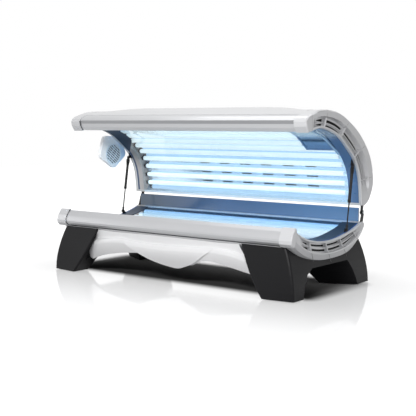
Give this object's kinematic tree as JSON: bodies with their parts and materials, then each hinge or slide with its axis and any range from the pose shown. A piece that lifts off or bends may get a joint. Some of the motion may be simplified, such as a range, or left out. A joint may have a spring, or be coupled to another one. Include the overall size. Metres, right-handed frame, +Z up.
{
  "type": "clamshell tanning bed",
  "caption": "Clamshell tanning bed: lamp bench on moulded legs, hinged lamp canopy on gas struts, facial tanner and swivel fan pod.",
  "frame": {"origin": "on the floor, under the middle of the whole outline, fan pod included", "axes": "+X along the bed to the head end, +Y to the hinge side at the back, +Z up; canopy open at rest"},
  "size_m": [2.314, 1.1584, 1.296],
  "materials": {
    "moulding": "silver-white painted moulding",
    "rail": "satin silver extrusion",
    "reflector": "bright rolled reflector sheet",
    "lamp": "lit lamp glass",
    "holder": "black moulded lampholder",
    "blue_panel": "dark blue satin panel",
    "blue_glass": "blue filter glass",
    "clear": "clear formed acrylic",
    "frame_steel": "grey painted steel",
    "black_steel": "black painted steel",
    "pin_steel": "plain steel",
    "pod": "white moulding",
    "fan": "dark moulded fan",
    "panel": "dark blue painted sheet",
    "leg": "anthracite satin moulding",
    "skirt": "high gloss white moulding",
    "rubber": "rubber glide"
  },
  "bodies": {
    "base": {"base_ballasts": "frame_steel", "base_chassis": "frame_steel", "base_end_cap_left": "moulding", "base_end_cap_right": "moulding", "base_fan_housing": "frame_steel", "base_front_rail": "rail", "base_rear_rim": "rail", "base_shell": "moulding", "bench_acrylic": "clear", "bench_end_panel_left": "blue_panel", "bench_end_panel_right": "blue_panel", "bench_lamp_tubes": "lamp", "bench_lampholders": "holder", "bench_reflector": "reflector", "front_skirt": "skirt", "hinge_pins": "pin_steel", "hinge_plate_left": "black_steel", "hinge_plate_right": "black_steel", "leg_left": "leg", "leg_right": "leg", "levelling_feet": "rubber", "rear_panel": "panel", "strut_foot_left": "black_steel", "strut_foot_right": "black_steel"},
    "canopy": {"canopy_corner_panel": "blue_panel", "canopy_end_cap_left": "moulding", "canopy_end_cap_right": "moulding", "canopy_end_panel_left": "blue_panel", "canopy_end_panel_right": "blue_panel", "canopy_frame": "frame_steel", "canopy_front_rail": "rail", "canopy_lamp_tubes": "lamp", "canopy_lampholders": "holder", "canopy_lower_trim": "rail", "canopy_reflector": "reflector", "canopy_shell": "moulding", "canopy_shield": "clear", "facial_bowls": "reflector", "facial_burners": "lamp", "facial_frame": "blue_panel", "facial_glass": "blue_glass", "fan_pod_stud": "pod", "hinge_arm_left": "black_steel", "hinge_arm_right": "black_steel", "strut_bracket_left": "black_steel", "strut_bracket_right": "black_steel"},
    "fan_pod": {"fan_pod_housing": "pod", "fan_pod_grille": "pod", "fan_pod_motor": "holder"},
    "fan_pod_wheel": {"fan_pod_wheel": "fan"},
    "bench_fan": {"base_fan_rotor": "fan"},
    "strut_cylinder_left": {"strut_cylinder_left": "black_steel"},
    "strut_cylinder_right": {"strut_cylinder_right": "black_steel"},
    "strut_rod_left": {"strut_rod_left": "black_steel"},
    "strut_rod_right": {"strut_rod_right": "black_steel"}
  },
  "joints": [
    {"name": "canopy_hinge", "type": "hinge", "parent": "base", "child": "canopy", "pos_m": [0.01603, 0.44827, 0.52], "axis": [1, 0, 0], "range_deg": [0, 36.5], "stiffness_Nm_per_rad": 303, "springref_deg": -56.72},
    {"name": "fan_pod_swivel", "type": "hinge", "parent": "canopy", "child": "fan_pod", "pos_m": [-1.11147, 0.18899, 1.00893], "axis": [1, 0, 0], "range_deg": [-12, 20]},
    {"name": "fan_pod_spin", "type": "hinge", "parent": "fan_pod", "child": "fan_pod_wheel", "pos_m": [-1.13397, 0.12427, 0.912], "axis": [1, 0, 0], "continuous": true},
    {"name": "bench_fan_spin", "type": "hinge", "parent": "base", "child": "bench_fan", "pos_m": [0.01603, -0.00173, 0.275], "axis": [0, 0, 1], "continuous": true},
    {"name": "strut_pivot_left", "type": "hinge", "parent": "canopy", "child": "strut_cylinder_left", "pos_m": [-1.08797, 0.28327, 0.88], "axis": [1, 0, 0], "range_deg": [-8.59, 0.3]},
    {"name": "strut_stroke_left", "type": "slide", "parent": "strut_cylinder_left", "child": "strut_rod_left", "axis": [0, 0.1596, 0.9872], "range_m": [0, 0.1558]},
    {"name": "strut_pivot_right", "type": "hinge", "parent": "canopy", "child": "strut_cylinder_right", "pos_m": [1.12003, 0.28327, 0.88], "axis": [1, 0, 0], "range_deg": [-8.59, 0.3]},
    {"name": "strut_stroke_right", "type": "slide", "parent": "strut_cylinder_right", "child": "strut_rod_right", "axis": [0, 0.1596, 0.9872], "range_m": [0, 0.1558]}
  ],
  "couplings": [
    {"joint": "strut_pivot_left", "follows": "canopy_hinge", "ratio": -0.227},
    {"joint": "strut_stroke_left", "follows": "canopy_hinge", "m_per_rad": 0.2414},
    {"joint": "strut_pivot_right", "follows": "canopy_hinge", "ratio": -0.227},
    {"joint": "strut_stroke_right", "follows": "canopy_hinge", "m_per_rad": 0.2414}
  ]
}
